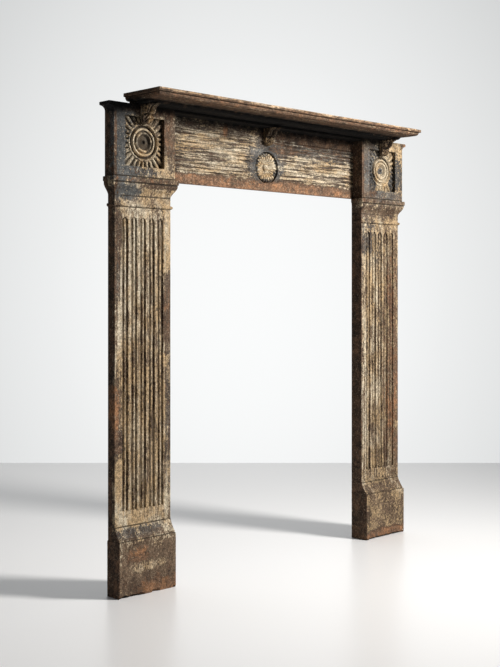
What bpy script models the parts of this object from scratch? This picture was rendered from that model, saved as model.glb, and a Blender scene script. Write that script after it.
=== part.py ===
"""Cast-iron fireplace surround that stands on its own two feet.

Seven castings: two jambs, a frieze, a shelf and three brackets. Each jamb is one casting with
a plinth, a fluted pilaster, a capital and a corner block. Metres, Z up. The origin lies at
floor level, in the middle of the overall width and depth, and +Y points to the back.

Depths are given as offsets from the front plane of the pilaster shafts, positive to the front.
"""

import math

import bmesh
import bpy

for old_object in list(bpy.data.objects):
    bpy.data.objects.remove(old_object, do_unlink=True)

# Overall sizes
HEIGHT = 1.400
GAP = 0.0003
SHELF_PROJECTION = 0.1369
JAMB_BACK = 0.0305
FRIEZE_THICKNESS = 0.012

SHAFT_FRONT_Y = (SHELF_PROJECTION - JAMB_BACK - GAP - FRIEZE_THICKNESS) / 2
JAMB_BACK_Y = SHAFT_FRONT_Y + JAMB_BACK

# Shelf heights, from the top down
SHELF_THICKNESS = 0.0215
SHELF_FASCIA = 0.0100
SHELF_QUIRK = 0.0060
SHELF_OVOLO = 0.0100
BED_MOULD_HEIGHT = 0.0092
SHELF_SOFFIT_Z = HEIGHT - SHELF_THICKNESS
BED_MOULD_BOTTOM = SHELF_SOFFIT_Z - BED_MOULD_HEIGHT

# Jamb heights, from the shelf down to the astragal and from the floor up to the base moulding
BLOCK_HEIGHT = 0.2047
CAP_FASCIA = 0.0100
CAP_COVE = 0.0145
CAPITAL_FASCIA = 0.0136
CAPITAL_OGEE = 0.0347
CAPITAL_STEP = 0.0040
NECK = 0.0260
ASTRAGAL_RADIUS = 0.005
PLINTH_HEIGHT = 0.1547
BASE_FILLET = 0.0060
BASE_CAVETTO = 0.0310
BLOCK_TOP = BED_MOULD_BOTTOM - GAP
BLOCK_BOTTOM = BLOCK_TOP - BLOCK_HEIGHT
CAP_FASCIA_BOTTOM = BLOCK_TOP - CAP_FASCIA
CAP_COVE_BOTTOM = CAP_FASCIA_BOTTOM - CAP_COVE
CAPITAL_FASCIA_BOTTOM = BLOCK_BOTTOM - CAPITAL_FASCIA
CAPITAL_BOTTOM = CAPITAL_FASCIA_BOTTOM - CAPITAL_STEP - CAPITAL_OGEE
ASTRAGAL_Z = CAPITAL_BOTTOM - NECK
BASE_MOULD_TOP = PLINTH_HEIGHT + BASE_FILLET + BASE_CAVETTO

# Edge of a step between two levels, so that no two levels share one height
STEP = 0.0004

# Jamb widths and projections
SHAFT_OUTER = 0.6266
SHAFT_WIDTH = 0.2013
SHAFT_INNER = SHAFT_OUTER - SHAFT_WIDTH
SHAFT_CENTRE = (SHAFT_OUTER + SHAFT_INNER) / 2
PLINTH_PROJECTION = 0.0242
PLINTH_OUTWARD = 0.0025
BASE_FILLET_PROJECTION = 0.0205
BASE_CAVETTO_PROJECTION = 0.0180
CAPITAL_PROJECTION = 0.0175
OGEE_PROJECTION = 0.0150
BLOCK_WIDTH = SHAFT_WIDTH + 0.0189
BLOCK_CENTRE = SHAFT_CENTRE + 0.00145
BLOCK_PROJECTION = 0.0106
BLOCK_OUTER = BLOCK_CENTRE + BLOCK_WIDTH / 2
BLOCK_INNER = BLOCK_CENTRE - BLOCK_WIDTH / 2
CAP_OUTWARD = 0.019
CAP_COVE_OUTWARD = 0.016
BLOCK_FRONT_Y = SHAFT_FRONT_Y - BLOCK_PROJECTION

# Return flange along the shaft's inner back edge, up to the frieze
RETURN_THICKNESS = 0.010
RETURN_TOP = BLOCK_BOTTOM - GAP

# Reach of a cutter in front of the face that it cuts
CUTTER_MARGIN = 0.006

# Flutes, each with a reed that lies in its channel
FLUTE_COUNT = 5
FLUTE_WIDTH = 0.0216
FLUTE_SIDE_MARGIN = 0.0264
FLUTE_PITCH = (SHAFT_WIDTH - 2 * FLUTE_SIDE_MARGIN - FLUTE_WIDTH) / (FLUTE_COUNT - 1)
FLUTE_DEPTH = 0.0050
FLUTE_BOTTOM = BASE_MOULD_TOP + 0.0433
FLUTE_TOP = ASTRAGAL_Z - 0.0335
REED_HALF_WIDTH = 0.39 * FLUTE_WIDTH / 2
REED_SINK = 0.0012

# Roundel in the corner block
RECESS_SIZE = 0.64 * BLOCK_WIDTH
RECESS_DEPTH = 0.015
ROUNDEL_Z = BLOCK_BOTTOM + 0.494 * BLOCK_HEIGHT
ROUNDEL_RAYS = 28

# Frieze
FRIEZE_FACE_Y = JAMB_BACK_Y + GAP
FRIEZE_LAP = 0.045
FRIEZE_FLANGE_THICKNESS = 0.008
REED_COUNT = 10
REED_PITCH = 0.0596 * BLOCK_HEIGHT
FRIEZE_REED_BOTTOM = BLOCK_BOTTOM + 0.1866 * BLOCK_HEIGHT
FRIEZE_REED_DEPTH = 0.0040
FRIEZE_PANEL_HALF_WIDTH = 0.0765
PATERA_Z = BLOCK_BOTTOM + 0.360 * BLOCK_HEIGHT
PATERA_RADIUS = 0.0502
PATERA_DEPTH = 0.0090
PATERA_PETALS = 24

# Shelf lengths and depths
SHELF_HALF_LENGTH = BLOCK_CENTRE + 0.0535
SHELF_BACK_Y = SHAFT_FRONT_Y + 0.0198
SHELF_FRONT_Y = SHAFT_FRONT_Y - SHELF_PROJECTION
BED_MOULD_HALF_LENGTH = SHELF_HALF_LENGTH - 0.0209
BED_MOULD_FRONT_Y = SHELF_FRONT_Y + 0.0729
BED_MOULD_INSET = 0.013

# Brackets
BRACKET_WIDTH = 0.037
BRACKET_RIB_WIDTH = 0.023
BRACKET_HEIGHT = 0.053
BRACKET_REACH = 0.0655


def make_material(name, colour, metallic, roughness):
    """Return a plain Principled material."""
    material = bpy.data.materials.new(name)
    material.use_nodes = True
    shader = material.node_tree.nodes["Principled BSDF"]
    shader.inputs["Base Color"].default_value = (*colour, 1.0)
    shader.inputs["Metallic"].default_value = metallic
    shader.inputs["Roughness"].default_value = roughness
    return material


def add_loft(bm, rings):
    """Join closed rings of equal length with quads and cap both ends, as one closed body."""
    rows = [[bm.verts.new(point) for point in ring] for ring in rings]
    count = len(rows[0])
    for low, high in zip(rows, rows[1:]):
        for i in range(count):
            j = (i + 1) % count
            bm.faces.new((low[i], low[j], high[j], high[i]))
    bm.faces.new(rows[0][::-1])
    bm.faces.new(rows[-1])


def finish_object(name, bm, material=None):
    """Turn the bmesh into an object with all faces pointing outward."""
    bmesh.ops.recalc_face_normals(bm, faces=bm.faces)
    mesh = bpy.data.meshes.new(name)
    bm.to_mesh(mesh)
    bm.free()
    made = bpy.data.objects.new(name, mesh)
    bpy.context.scene.collection.objects.link(made)
    if material is not None:
        mesh.materials.append(material)
    return made


def combine(target, operation, tool):
    """Cut the tool's volume out of the target or add it, and keep the tool itself out of sight."""
    tool.hide_render = True
    tool.display_type = "WIRE"
    boolean = target.modifiers.new(operation.lower(), "BOOLEAN")
    boolean.operation = operation
    boolean.solver = "EXACT"
    boolean.object = tool


def curve_between(values, position):
    """Read a list of (position, value) pairs with straight lines between them."""
    previous = values[0]
    if position <= previous[0]:
        return previous[1]
    for current in values[1:]:
        if position <= current[0]:
            part = (position - previous[0]) / (current[0] - previous[0])
            return previous[1] + part * (current[1] - previous[1])
        previous = current
    return previous[1]


def jamb_levels():
    """List the jamb's outline from the floor up as (z, outward, inward, forward) offsets."""
    fillet = BASE_FILLET_PROJECTION
    levels = [
        (0.0, PLINTH_OUTWARD, 0.0, PLINTH_PROJECTION),
        (PLINTH_HEIGHT, PLINTH_OUTWARD, 0.0, PLINTH_PROJECTION),
        (PLINTH_HEIGHT + STEP, 0.0, 0.0, fillet),
        (PLINTH_HEIGHT + BASE_FILLET, 0.0, 0.0, fillet),
    ]
    cavetto_bottom = PLINTH_HEIGHT + BASE_FILLET + STEP
    for step in range(6):
        rise = math.sin(math.radians(90 * step / 5))
        forward = BASE_CAVETTO_PROJECTION * (1 - rise) ** 1.4
        levels.append((cavetto_bottom + (BASE_CAVETTO - STEP) * rise, 0.0, 0.0, forward))
    for step in range(6):
        angle = math.radians(-90 + 180 * step / 5)
        swell = ASTRAGAL_RADIUS * math.cos(angle)
        z = ASTRAGAL_Z + ASTRAGAL_RADIUS * math.sin(angle)
        levels.append((z, swell, swell, swell))
    for step in range(7):
        share = step / 6
        swell = OGEE_PROJECTION * (1 - math.cos(math.pi * share)) / 2
        levels.append((CAPITAL_BOTTOM + CAPITAL_OGEE * share, swell, swell, swell))
    fascia = CAPITAL_PROJECTION
    outward = BLOCK_OUTER - SHAFT_OUTER
    inward = SHAFT_INNER - BLOCK_INNER
    levels += [
        (CAPITAL_FASCIA_BOTTOM, OGEE_PROJECTION, OGEE_PROJECTION, OGEE_PROJECTION),
        (CAPITAL_FASCIA_BOTTOM + STEP, fascia, fascia, fascia),
        (BLOCK_BOTTOM, fascia, fascia, fascia),
        (BLOCK_BOTTOM + STEP, outward, inward, BLOCK_PROJECTION),
        (CAP_COVE_BOTTOM, outward, inward, BLOCK_PROJECTION),
    ]
    for step in range(1, 5):
        angle = math.radians(90 * step / 4)
        reach = outward + CAP_COVE_OUTWARD * (1 - math.cos(angle))
        levels.append((CAP_COVE_BOTTOM + CAP_COVE * math.sin(angle), reach, inward, BLOCK_PROJECTION))
    levels += [
        (CAP_FASCIA_BOTTOM + STEP, outward + CAP_OUTWARD, inward, BLOCK_PROJECTION),
        (BLOCK_TOP, outward + CAP_OUTWARD, inward, BLOCK_PROJECTION),
    ]
    return levels


def flute_depth(x, arch):
    """Depth of one flute at a distance x from its middle; arch falls to 0 at the rounded top."""
    groove = FLUTE_DEPTH * arch ** 0.5
    crest = FLUTE_DEPTH - (FLUTE_DEPTH - REED_SINK) * arch
    profile = [
        (0.0, crest),
        (REED_HALF_WIDTH * 0.6, crest + 0.18 * FLUTE_DEPTH * arch),
        (REED_HALF_WIDTH, groove),
        (FLUTE_WIDTH * 0.36, groove),
        (FLUTE_WIDTH * 0.50, groove * 0.55),
    ]
    return max(REED_SINK, min(groove, curve_between(profile, abs(x))))


def add_flute(bm, centre_x):
    """Add the cutter of one flute: a square foot, a long channel around its reed, a round top."""
    radius = FLUTE_WIDTH / 2
    spring = FLUTE_TOP - radius
    stations = [(FLUTE_BOTTOM, radius, 1.0), (spring, radius, 1.0)]
    for degrees in (25, 48, 66, 80):
        angle = math.radians(degrees)
        stations.append((spring + radius * math.sin(angle), radius * math.cos(angle), math.cos(angle)))
    fractions = (-1.0, -0.72, -0.39, -0.23, 0.0, 0.23, 0.39, 0.72, 1.0)
    rings = []
    for z, half_width, arch in stations:
        ring = [
            (centre_x + half_width, SHAFT_FRONT_Y - CUTTER_MARGIN, z),
            (centre_x - half_width, SHAFT_FRONT_Y - CUTTER_MARGIN, z),
        ]
        for fraction in fractions:
            x = fraction * half_width
            ring.append((centre_x + x, SHAFT_FRONT_Y + flute_depth(x, arch), z))
        rings.append(ring)
    add_loft(bm, rings)


def roundel_rings():
    """List the roundel's rings as (share of half the recess, share of the recess's depth)."""
    return [
        (0.050, 0.83),
        (0.100, 0.60),
        (0.284, 0.77),
        (0.319, 0.53),
        (0.404, 0.53),
        (0.440, 0.87),
        (0.475, 0.57),
        (0.539, 0.57),
        (0.574, 0.93),
        (0.674, 0.93),
        (0.709, 0.47),
        (0.752, 0.40),
        (0.787, 0.60),
    ]


def add_roundel(bm, centre_x):
    """Add the cutter of the square recess, its inner face shaped as the roundel and its rays."""
    spokes = 2 * ROUNDEL_RAYS
    half = RECESS_SIZE / 2
    turns = [2 * math.pi * spoke / spokes for spoke in range(spokes)]
    rings = []
    for share, depth in roundel_rings():
        radius = share * half
        y = BLOCK_FRONT_Y + depth * RECESS_DEPTH
        rings.append([(centre_x + radius * math.cos(turn), y, ROUNDEL_Z + radius * math.sin(turn))
                      for turn in turns])
    inner = roundel_rings()[-1][0] * half
    for share in (0.18, 1.0):
        ring = []
        for spoke, turn in enumerate(turns):
            edge = half / max(abs(math.cos(turn)), abs(math.sin(turn)))
            radius = inner + share * (edge - inner)
            depth = 0.60 if spoke % 2 else 0.90
            ring.append((centre_x + radius * math.cos(turn), BLOCK_FRONT_Y + depth * RECESS_DEPTH,
                         ROUNDEL_Z + radius * math.sin(turn)))
        rings.append(ring)
    rings.append([(x, BLOCK_FRONT_Y - CUTTER_MARGIN, z) for x, y, z in rings[-1]])
    add_loft(bm, rings)


def build_jamb(name, side, material):
    """Build one jamb; side is -1 for the left one and 1 for the right one."""
    bm = bmesh.new()
    rings = []
    for z, outward, inward, forward in jamb_levels():
        outer_x = side * (SHAFT_OUTER + outward)
        inner_x = side * (SHAFT_INNER - inward)
        front_y = SHAFT_FRONT_Y - forward
        rings.append([
            (inner_x, front_y, z),
            (outer_x, front_y, z),
            (outer_x, JAMB_BACK_Y, z),
            (inner_x, JAMB_BACK_Y, z),
        ])
    add_loft(bm, rings)
    jamb = finish_object(name, bm, material)

    # The return flange starts inside the shaft and ends flush with the back of the frieze.
    return_bm = bmesh.new()
    inner_x = side * SHAFT_INNER
    flange_x = side * (SHAFT_INNER + RETURN_THICKNESS)
    root_y = JAMB_BACK_Y - RETURN_THICKNESS
    end_y = JAMB_BACK_Y + GAP + FRIEZE_THICKNESS
    corners = [(inner_x, root_y), (flange_x, root_y), (flange_x, end_y), (inner_x, end_y)]
    add_loft(return_bm, [[(x, y, z) for x, y in corners] for z in (0.0, RETURN_TOP)])
    combine(jamb, "UNION", finish_object(name + "_return", return_bm))

    cutter_bm = bmesh.new()
    for index in range(FLUTE_COUNT):
        offset = (index - (FLUTE_COUNT - 1) / 2) * FLUTE_PITCH
        add_flute(cutter_bm, side * SHAFT_CENTRE + offset)
    add_roundel(cutter_bm, side * BLOCK_CENTRE)
    combine(jamb, "DIFFERENCE", finish_object(name + "_cutter", cutter_bm))
    return jamb


def build_frieze(material):
    """Build the reeded plate with its plain middle panel and the sunk patera."""
    half_length = BLOCK_INNER + FRIEZE_LAP
    back_y = FRIEZE_FACE_Y + FRIEZE_THICKNESS
    heights = [(BLOCK_BOTTOM, 0.0)]
    for reed in range(REED_COUNT):
        base = FRIEZE_REED_BOTTOM + reed * REED_PITCH
        heights += [
            (base + 0.04 * REED_PITCH, 0.0 if reed == 0 else 0.9),
            (base + 0.20 * REED_PITCH, 1.0),
            (base + 0.37 * REED_PITCH, 0.35),
            (base + 0.62 * REED_PITCH, 0.0),
            (base + 0.86 * REED_PITCH, 0.35),
        ]
    reed_top = FRIEZE_REED_BOTTOM + REED_COUNT * REED_PITCH
    heights += [(reed_top + 0.04 * REED_PITCH, 1.0), (reed_top + 0.16 * REED_PITCH, 0.0), (BLOCK_TOP, 0.0)]
    panel = FRIEZE_PANEL_HALF_WIDTH
    stations = [
        (-half_length, 1.0),
        (-panel - 0.004, 1.0),
        (-panel, 0.0),
        (panel, 0.0),
        (panel + 0.004, 1.0),
        (half_length, 1.0),
    ]
    bm = bmesh.new()
    rings = []
    for x, share in stations:
        ring = [(x, FRIEZE_FACE_Y + FRIEZE_REED_DEPTH * depth * share, z) for z, depth in heights]
        ring.append((x, back_y, BLOCK_TOP))
        ring.append((x, back_y, BLOCK_BOTTOM))
        rings.append(ring)
    add_loft(bm, rings)
    frieze = finish_object("frieze", bm, material)

    # The flange under the shelf runs from block to block, flush with their fronts.
    flange_bm = bmesh.new()
    flange_x = BLOCK_INNER - GAP
    flange_bottom = BLOCK_TOP - FRIEZE_FLANGE_THICKNESS
    flange_back_y = FRIEZE_FACE_Y + FRIEZE_THICKNESS / 2
    corners = [
        (-flange_x, BLOCK_FRONT_Y),
        (flange_x, BLOCK_FRONT_Y),
        (flange_x, flange_back_y),
        (-flange_x, flange_back_y),
    ]
    add_loft(flange_bm, [[(x, y, z) for x, y in corners] for z in (flange_bottom, BLOCK_TOP)])
    combine(frieze, "UNION", finish_object("frieze_flange", flange_bm))

    # Each ring of the patera: share of its radius, share of its depth, depth between two petals.
    relief = [
        (0.08, 0.22, 0.0),
        (0.17, 0.39, 0.0),
        (0.22, 0.94, 0.0),
        (0.36, 0.78, 0.07),
        (0.76, 0.17, 0.16),
        (0.91, 0.22, 0.16),
        (0.94, 0.98, 0.0),
        (1.00, 1.00, 0.0),
    ]
    spokes = 2 * PATERA_PETALS
    cutter_bm = bmesh.new()
    rings = []
    for share, depth, petal in relief:
        radius = share * PATERA_RADIUS
        ring = []
        for spoke in range(spokes):
            turn = 2 * math.pi * spoke / spokes
            y = FRIEZE_FACE_Y + PATERA_DEPTH * (depth + petal * (spoke % 2))
            ring.append((radius * math.cos(turn), y, PATERA_Z + radius * math.sin(turn)))
        rings.append(ring)
    rings.append([(x, FRIEZE_FACE_Y - CUTTER_MARGIN, z) for x, y, z in rings[-1]])
    add_loft(cutter_bm, rings)
    combine(frieze, "DIFFERENCE", finish_object("frieze_cutter", cutter_bm))
    return frieze


def build_shelf(material):
    """Build the shelf from its top down, with the mouldings along the front and both ends."""
    fascia_bottom = HEIGHT - SHELF_FASCIA
    ovolo_top = SHELF_SOFFIT_Z + SHELF_OVOLO
    levels = [
        (HEIGHT, 0.0, 0.0),
        (fascia_bottom, 0.0, 0.0),
        (fascia_bottom - STEP, SHELF_QUIRK, SHELF_QUIRK),
    ]
    for step in range(7):
        angle = math.radians(90 * step / 6)
        inset = SHELF_QUIRK + SHELF_OVOLO * (1 - math.cos(angle))
        levels.append((ovolo_top - SHELF_OVOLO * math.sin(angle), inset, inset))
    bed_end = SHELF_HALF_LENGTH - BED_MOULD_HALF_LENGTH
    bed_front = BED_MOULD_FRONT_Y - SHELF_FRONT_Y
    bed_top = SHELF_SOFFIT_Z - STEP
    for step in range(5):
        angle = math.radians(90 * step / 4)
        inset = BED_MOULD_INSET * (1 - math.cos(angle))
        z = bed_top - (bed_top - BED_MOULD_BOTTOM) * math.sin(angle)
        levels.append((z, bed_end + inset, bed_front + inset))
    bm = bmesh.new()
    rings = []
    for z, end_inset, front_inset in levels:
        x = SHELF_HALF_LENGTH - end_inset
        front_y = SHELF_FRONT_Y + front_inset
        rings.append([(-x, front_y, z), (x, front_y, z), (x, SHELF_BACK_Y, z), (-x, SHELF_BACK_Y, z)])
    add_loft(bm, rings)
    return finish_object("shelf", bm, material)


def build_bracket(name, centre_x, wall_y, top, material):
    """Build one leaf bracket that hangs on the wall plane and curls forward under the shelf."""
    # Each level from the bottom up: share of the height, of the reach and of the width.
    levels = [
        (0.00, 0.09, 0.55),
        (0.08, 0.23, 0.80),
        (0.19, 0.32, 0.95),
        (0.34, 0.37, 1.00),
        (0.47, 0.35, 1.00),
        (0.53, 0.40, 1.00),
        (0.57, 0.57, 1.00),
        (0.70, 0.63, 1.00),
        (0.85, 0.69, 1.00),
        (0.93, 0.92, 1.00),
        (1.00, 1.00, 0.95),
    ]
    bm = bmesh.new()
    rings = []
    for height, reach, width in levels:
        half = BRACKET_WIDTH / 2 * width
        rib = BRACKET_RIB_WIDTH / 2 * width
        projection = reach * BRACKET_REACH
        points = [
            (-half, 0.0),
            (half, 0.0),
            (half, -0.62 * projection),
            (rib, -0.94 * projection),
            (0.0, -projection),
            (-rib, -0.94 * projection),
            (-half, -0.62 * projection),
        ]
        z = top - (1 - height) * BRACKET_HEIGHT
        rings.append([(centre_x + x, wall_y - GAP + y, z) for x, y in points])
    add_loft(bm, rings)
    return finish_object(name, bm, material)


painted_iron = (0.42, 0.38, 0.30)
build_jamb("jamb_left", -1, make_material("jamb_left_paint", painted_iron, 0.0, 0.55))
build_jamb("jamb_right", 1, make_material("jamb_right_paint", painted_iron, 0.0, 0.55))
build_frieze(make_material("frieze_paint", (0.40, 0.36, 0.29), 0.0, 0.55))
build_shelf(make_material("shelf_paint", (0.46, 0.36, 0.28), 0.0, 0.50))
build_bracket("bracket_left", -BLOCK_CENTRE, BLOCK_FRONT_Y, BLOCK_TOP,
              make_material("bracket_left_paint", (0.30, 0.24, 0.18), 0.0, 0.55))
build_bracket("bracket_centre", 0.0, FRIEZE_FACE_Y, BLOCK_TOP - FRIEZE_FLANGE_THICKNESS - GAP,
              make_material("bracket_centre_paint", (0.30, 0.24, 0.18), 0.0, 0.55))
build_bracket("bracket_right", BLOCK_CENTRE, BLOCK_FRONT_Y, BLOCK_TOP,
              make_material("bracket_right_paint", (0.30, 0.24, 0.18), 0.0, 0.55))
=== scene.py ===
import math

import bmesh
import bpy
from mathutils import Matrix, Vector, noise


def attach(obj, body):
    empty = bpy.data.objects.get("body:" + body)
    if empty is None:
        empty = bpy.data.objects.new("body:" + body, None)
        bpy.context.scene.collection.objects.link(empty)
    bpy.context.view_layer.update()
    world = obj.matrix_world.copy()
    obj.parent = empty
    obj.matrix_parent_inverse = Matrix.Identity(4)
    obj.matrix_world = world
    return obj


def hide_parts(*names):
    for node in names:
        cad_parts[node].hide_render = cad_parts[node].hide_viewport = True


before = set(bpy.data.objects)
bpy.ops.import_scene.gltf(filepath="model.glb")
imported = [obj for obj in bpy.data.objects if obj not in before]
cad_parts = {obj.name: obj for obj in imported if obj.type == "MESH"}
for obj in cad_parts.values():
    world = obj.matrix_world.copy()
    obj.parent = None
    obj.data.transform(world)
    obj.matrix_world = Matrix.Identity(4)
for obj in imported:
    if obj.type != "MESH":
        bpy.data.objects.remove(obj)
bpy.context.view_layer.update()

# Camera
# It stands to the left of the surround at chest height, level, and looks across the front.
# The small vertical shift keeps the uprights parallel, as in a studio picture.


def set_up(name, data):
    """Put a new object in the scene and return it."""
    made = bpy.data.objects.new(name, data)
    bpy.context.scene.collection.objects.link(made)
    return made


camera_data = bpy.data.cameras.new("camera")
camera_data.sensor_fit = "VERTICAL"
camera_data.sensor_height = 36.0
camera_data.lens = 60.27
camera_data.shift_y = -0.0604
camera = set_up("camera", camera_data)
camera.location = (-2.5097, -2.4158, 0.8407)
camera.rotation_euler = (math.radians(90), 0.0, math.radians(-44.31))
bpy.context.scene.camera = camera

# Studio floor
# A pale, slightly glossy floor that runs far out on every side. Its low gloss gives the faint
# upright reflections under the feet.


def make_mesh(name, bm):
    """Turn a bmesh into a mesh and return it."""
    mesh = bpy.data.meshes.new(name)
    bm.to_mesh(mesh)
    bm.free()
    return mesh


floor_bm = bmesh.new()
bmesh.ops.create_grid(floor_bm, x_segments=1, y_segments=1, size=30)
floor_mesh = make_mesh("floor", floor_bm)
floor = set_up("floor", floor_mesh)
floor_material = bpy.data.materials.new("studio_floor")
floor_material.use_nodes = True
floor_shader = floor_material.node_tree.nodes["Principled BSDF"]
floor_shader.inputs["Base Color"].default_value = (0.79, 0.79, 0.795, 1.0)
floor_shader.inputs["Roughness"].default_value = 0.30
floor_mesh.materials.append(floor_material)

# Studio backdrop
# A lit pale wall behind the surround, square to the camera. It glows a little more behind the
# opening than in its corners, and its back is see-through, so it hides nothing from behind.
BACKDROP_DISTANCE = 5.53


def add_node(tree, kind, inputs=None, **settings):
    """Add a node with its settings, and give its inputs their values or link them to sockets."""
    made = tree.nodes.new(kind)
    for name, value in settings.items():
        setattr(made, name, value)
    for name, value in (inputs or {}).items():
        if isinstance(value, bpy.types.NodeSocket):
            tree.links.new(value, made.inputs[name])
        else:
            made.inputs[name].default_value = value
    return made


look = Matrix.Rotation(camera.rotation_euler.z, 4, "Z")
backdrop_bm = bmesh.new()
upright = Matrix.Translation((0, BACKDROP_DISTANCE, 8.98)) @ Matrix.Rotation(math.radians(90), 4, "X")
below_camera = Matrix.Translation((camera.location.x, camera.location.y, 0))
bmesh.ops.create_grid(backdrop_bm, x_segments=1, y_segments=1, size=9, matrix=below_camera @ look @ upright)
backdrop_mesh = make_mesh("backdrop", backdrop_bm)
backdrop = set_up("backdrop", backdrop_mesh)
backdrop_material = bpy.data.materials.new("studio_backdrop")
backdrop_material.use_nodes = True
backdrop_tree = backdrop_material.node_tree
backdrop_tree.nodes.clear()
glow_middle = camera.location + look @ Vector((0.0, BACKDROP_DISTANCE, 0.0))
where = add_node(backdrop_tree, "ShaderNodeTexCoord").outputs["Object"]
centred = add_node(backdrop_tree, "ShaderNodeMapping", {
    "Vector": where,
    "Location": (glow_middle.x, glow_middle.y, 0.84),
    "Rotation": (0.0, 0.0, camera.rotation_euler.z),
    "Scale": (1.22, 1.0, 1.50),
}, vector_type="TEXTURE").outputs["Vector"]
reach = add_node(backdrop_tree, "ShaderNodeVectorMath", {0: centred}, operation="LENGTH").outputs["Value"]
halved = add_node(backdrop_tree, "ShaderNodeMath", {0: reach, 1: 0.5}, operation="MULTIPLY").outputs[0]
glow = add_node(backdrop_tree, "ShaderNodeValToRGB", {"Fac": halved})
glow.color_ramp.interpolation = "B_SPLINE"
glow.color_ramp.elements[0].color = (0.97, 0.98, 0.98, 1.0)
glow.color_ramp.elements[1].color = (0.40, 0.41, 0.41, 1.0)
glow.color_ramp.elements.new(0.40).color = (0.93, 0.94, 0.94, 1.0)
light_out = add_node(backdrop_tree, "ShaderNodeEmission", {"Color": glow.outputs["Color"]}).outputs[0]
see_through = add_node(backdrop_tree, "ShaderNodeBsdfTransparent").outputs[0]
from_behind = add_node(backdrop_tree, "ShaderNodeNewGeometry").outputs["Backfacing"]
one_sided = add_node(backdrop_tree, "ShaderNodeMixShader", {0: from_behind, 1: light_out, 2: see_through})
add_node(backdrop_tree, "ShaderNodeOutputMaterial", {"Surface": one_sided.outputs[0]})
backdrop_mesh.materials.append(backdrop_material)

# Lights
# One soft box stands to the right in front, a little above the shelf, and a weak fill is left
# to the room, so the sides that face away from the box stay dark.
key_data = bpy.data.lights.new("key_box", "AREA")
key_data.shape = "DISK"
key_data.size = 0.65
key_data.energy = 57.0
key_data.spread = math.radians(112)
key_data.color = (1.0, 0.97, 0.93)
key = set_up("key_box", key_data)
key.location = (1.15, -1.92, 2.03)
key.rotation_euler = (Vector((-0.25, 0.1, 0.78)) - key.location).to_track_quat("-Z", "Y").to_euler()
room = bpy.data.worlds.new("room")
bpy.context.scene.world = room
room.use_nodes = True
room_tree = room.node_tree
room_fill = room_tree.nodes["Background"]
room_fill.inputs["Color"].default_value = (0.085, 0.085, 0.09, 1.0)
room_seen = add_node(room_tree, "ShaderNodeBackground", {"Color": (0.72, 0.72, 0.73, 1.0)}).outputs[0]
to_camera = add_node(room_tree, "ShaderNodeLightPath").outputs["Is Camera Ray"]
room_mix = add_node(room_tree, "ShaderNodeMixShader", {0: to_camera, 1: room_fill.outputs[0], 2: room_seen})
room_tree.links.new(room_mix.outputs[0], room_tree.nodes["World Output"].inputs["Surface"])
bpy.context.scene.view_settings.view_transform = "Standard"

# Jambs
# Each jamb is one iron casting: a plinth, a base moulding, a pilaster with five reeded flutes, an
# astragal, a capital and a corner block with a sunk roundel. It was cast face down in sand, so its
# arrises are soft and its back is hollow, and it stands on the ragged rim under its plinth.
SHAFT_FRONT = 0.04705
JAMB_BACK = 0.07755
RETURN_BACK = 0.08985
RETURN_THICKNESS = 0.0100
RETURN_TOP = 1.1640
BACK_SINK = 0.0120
CAPITAL_FOOT = 1.0910
SHAFT_INNER = 0.4253
SHAFT_WIDTH = 0.2013
BLOCK_WIDTH = 0.2202
BLOCK_TOP = 1.3690
BLOCK_STEPS = (0.0109, 0.0080, 0.0106)
ROUNDEL_X = 0.5274
ROUNDEL_Z = 1.2654
ROUNDEL_HALF = 0.0705
ROUNDEL_RAYS = 28
FLUTE_PITCH = 0.03173
FLUTE_HALF = 0.0108
FLUTE_DEPTH = 0.0052
FLUTE_FOOT = 0.2350
FLUTE_SPRING = 1.0417
SPOKES = 224

# The spokes' places along half a side of the square round a disc, as shares of that half side
SQUARE_SHARES = [math.tan(2 * math.pi * step / SPOKES) for step in range(-SPOKES // 8, SPOKES // 8 + 1)]

# How hollow the corners between the mouldings lie, from the floor up, for the painted shade and soiling
# that darken them: (z, hollowness)
LEDGE_GRIME_AND_SHADE = [
    (0.1535, 0.0), (0.1546, 1.0), (0.1562, 1.0), (0.1578, 0.0), (0.1600, 0.0), (0.1614, 0.7),
    (0.1640, 0.0), (0.1895, 0.0), (0.1910, 0.9), (0.1932, 1.0), (0.1950, 0.0),
    (1.0780, 0.0), (1.0800, 0.9), (1.0818, 0.9), (1.0830, 0.0), (1.0895, 0.0), (1.0908, 0.8),
    (1.0935, 0.0), (1.1080, 0.0), (1.1104, 0.9), (1.1140, 0.9), (1.1170, 0.0), (1.1450, 0.0),
    (1.1470, 1.0), (1.1509, 1.0), (1.1520, 0.0), (1.1632, 0.0), (1.1642, 1.0), (1.1680, 1.0),
    (1.1715, 0.0), (1.3400, 0.0), (1.3440, 0.6), (1.3470, 0.0),
]

# Half of a flute's section, from the crest of its reed to its lip: (distance, depth)
FLUTE_SECTION = [
    (0.0000, 0.0009), (0.0017, 0.0011), (0.0032, 0.0020), (0.0041, 0.0036), (0.0052, 0.0052),
    (0.0074, 0.0052), (0.0094, 0.0044), (0.0105, 0.0021), (0.0108, 0.0000),
]

# The roundel's turned profile, from its middle to its outer bead: (radius, depth)
ROUNDEL_PROFILE = [
    (0.0000, 0.0138), (0.0030, 0.0134), (0.0048, 0.0104), (0.0070, 0.0090), (0.0100, 0.0098),
    (0.0140, 0.0112), (0.0180, 0.0112), (0.0204, 0.0096), (0.0220, 0.0064), (0.0240, 0.0046),
    (0.0262, 0.0045), (0.0282, 0.0058), (0.0294, 0.0086), (0.0306, 0.0108), (0.0320, 0.0110),
    (0.0333, 0.0088), (0.0346, 0.0062), (0.0368, 0.0056), (0.0388, 0.0057), (0.0402, 0.0078),
    (0.0412, 0.0120), (0.0424, 0.0142), (0.0456, 0.0143), (0.0472, 0.0118), (0.0484, 0.0080),
    (0.0500, 0.0060), (0.0520, 0.0056), (0.0538, 0.0068), (0.0550, 0.0094),
]


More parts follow.
